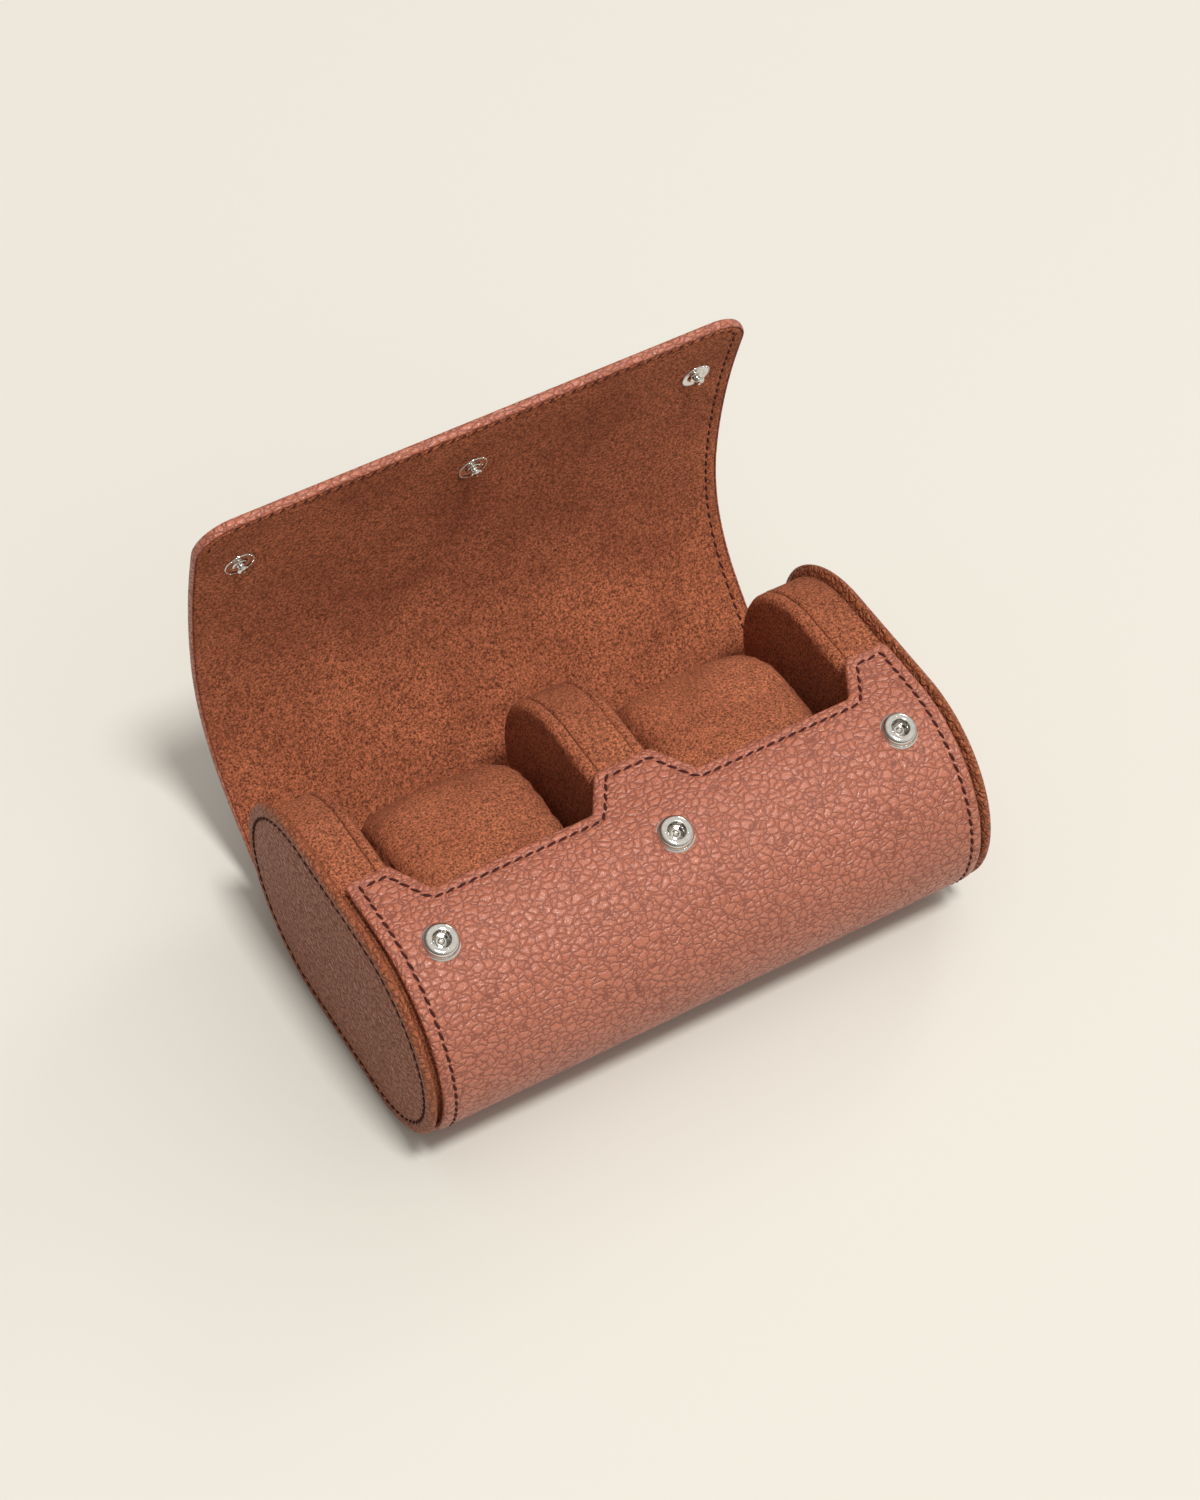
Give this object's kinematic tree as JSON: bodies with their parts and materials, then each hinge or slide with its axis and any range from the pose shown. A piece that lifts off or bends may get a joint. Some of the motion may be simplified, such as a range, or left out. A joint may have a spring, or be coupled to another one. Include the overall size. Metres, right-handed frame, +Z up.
{
  "type": "watch roll",
  "caption": "Soft oval roll case of pebbled leather for two watches, lined with suede, with cushions between padded dividers and a curling flap that snaps shut.",
  "frame": {"origin": "middle of the flat bottom of the case, on the table", "axes": "+X along the roll, -Y the front with the snap sockets, +Y the side the flap hangs from, +Z up"},
  "size_m": [0.1716, 0.1388, 0.1295],
  "materials": {
    "leather": "pebbled, semi-matte",
    "suede": "brushed suede",
    "board": "grey board",
    "foam": "closed-cell foam",
    "nickel": "polished nickel"
  },
  "bodies": {
    "case": {"shell_leather": "leather", "shell_board": "board", "shell_lining": "suede", "cap_leather_left": "leather", "cap_leather_right": "leather", "cap_board_left": "board", "cap_board_right": "board", "end_core_left": "foam", "end_core_right": "foam", "end_band_left": "suede", "end_band_right": "suede", "end_pad_left": "suede", "end_pad_right": "suede", "mid_pad_left": "suede", "mid_pad_right": "suede", "mid_core": "foam", "mid_band": "suede", "snap_sockets": "nickel", "socket_springs": "nickel", "socket_posts": "nickel"},
    "cushion_left": {"cushion_cover_left": "suede", "cushion_core_left": "foam"},
    "cushion_right": {"cushion_cover_right": "suede", "cushion_core_right": "foam"},
    "strip_1": {"flap_leather_1": "leather", "flap_lining_1": "suede"},
    "strip_2": {"flap_leather_2": "leather", "flap_lining_2": "suede"},
    "strip_3": {"flap_leather_3": "leather", "flap_lining_3": "suede"},
    "strip_4": {"flap_leather_4": "leather", "flap_lining_4": "suede"},
    "strip_5": {"flap_leather_5": "leather", "flap_lining_5": "suede"},
    "strip_6": {"flap_leather_6": "leather", "flap_lining_6": "suede"},
    "strip_7": {"flap_leather_7": "leather", "flap_lining_7": "suede"},
    "strip_8": {"flap_leather_8": "leather", "flap_lining_8": "suede"},
    "strip_9": {"flap_leather_9": "leather", "flap_lining_9": "suede"},
    "strip_10": {"flap_leather_10": "leather", "flap_lining_10": "suede"},
    "strip_11": {"flap_leather_11": "leather", "flap_lining_11": "suede", "snap_studs": "nickel", "stud_posts": "nickel"},
    "strip_12": {"flap_leather_12": "leather", "flap_lining_12": "suede"}
  },
  "joints": [
    {"name": "bend_1", "type": "hinge", "parent": "case", "child": "strip_1", "pos_m": [0, 0.0175, 0.0015], "axis": [1, 0, 0], "range_deg": [0, 7.2]},
    {"name": "bend_2", "type": "hinge", "parent": "strip_1", "child": "strip_2", "pos_m": [0, 0.0319, 0.0015], "axis": [1, 0, 0], "range_deg": [0, 25.2]},
    {"name": "flap_lean", "type": "hinge", "parent": "strip_2", "child": "strip_3", "pos_m": [0, 0.04625, 0.00276], "axis": [1, 0, 0], "range_deg": [-27, 0]},
    {"name": "bend_4", "type": "hinge", "parent": "strip_3", "child": "strip_4", "pos_m": [0, 0.05832, 0.0106], "axis": [1, 0, 0], "range_deg": [0, 9]},
    {"name": "bend_5", "type": "hinge", "parent": "strip_4", "child": "strip_5", "pos_m": [0, 0.06868, 0.0206], "axis": [1, 0, 0], "range_deg": [0, 21.6]},
    {"name": "bend_6", "type": "hinge", "parent": "strip_5", "child": "strip_6", "pos_m": [0, 0.07794, 0.03163], "axis": [1, 0, 0], "range_deg": [0, 7.2]},
    {"name": "bend_7", "type": "hinge", "parent": "strip_6", "child": "strip_7", "pos_m": [0, 0.08379, 0.04479], "axis": [1, 0, 0], "range_deg": [0, 10.8]},
    {"name": "bend_8", "type": "hinge", "parent": "strip_7", "child": "strip_8", "pos_m": [0, 0.0858, 0.05905], "axis": [1, 0, 0], "range_deg": [-4.32, 0]},
    {"name": "bend_9", "type": "hinge", "parent": "strip_8", "child": "strip_9", "pos_m": [0, 0.08479, 0.07341], "axis": [1, 0, 0], "range_deg": [-1.44, 0]},
    {"name": "bend_10", "type": "hinge", "parent": "strip_9", "child": "strip_10", "pos_m": [0, 0.08254, 0.08764], "axis": [1, 0, 0], "range_deg": [-6.12, 0]},
    {"name": "flap_tip", "type": "hinge", "parent": "strip_10", "child": "strip_11", "pos_m": [0, 0.0793, 0.10167], "axis": [1, 0, 0], "range_deg": [0, 22]},
    {"name": "flap_curl", "type": "hinge", "parent": "strip_11", "child": "strip_12", "pos_m": [0, 0.07509, 0.11544], "axis": [1, 0, 0], "range_deg": [0, 30.6]},
    {"name": "cushion_left_lift", "type": "slide", "parent": "case", "child": "cushion_left", "axis": [0, 0, 1], "range_m": [0, 0.007]},
    {"name": "cushion_right_lift", "type": "slide", "parent": "case", "child": "cushion_right", "axis": [0, 0, 1], "range_m": [0, 0.007]}
  ],
  "couplings": [
    {"joint": "bend_1", "follows": "flap_curl", "ratio": 0.23529},
    {"joint": "bend_2", "follows": "flap_curl", "ratio": 0.82353},
    {"joint": "bend_4", "follows": "flap_curl", "ratio": 0.29412},
    {"joint": "bend_5", "follows": "flap_curl", "ratio": 0.70588},
    {"joint": "bend_6", "follows": "flap_curl", "ratio": 0.23529},
    {"joint": "bend_7", "follows": "flap_curl", "ratio": 0.35294},
    {"joint": "bend_8", "follows": "flap_curl", "ratio": -0.14118},
    {"joint": "bend_9", "follows": "flap_curl", "ratio": -0.047059},
    {"joint": "bend_10", "follows": "flap_curl", "ratio": -0.2}
  ]
}
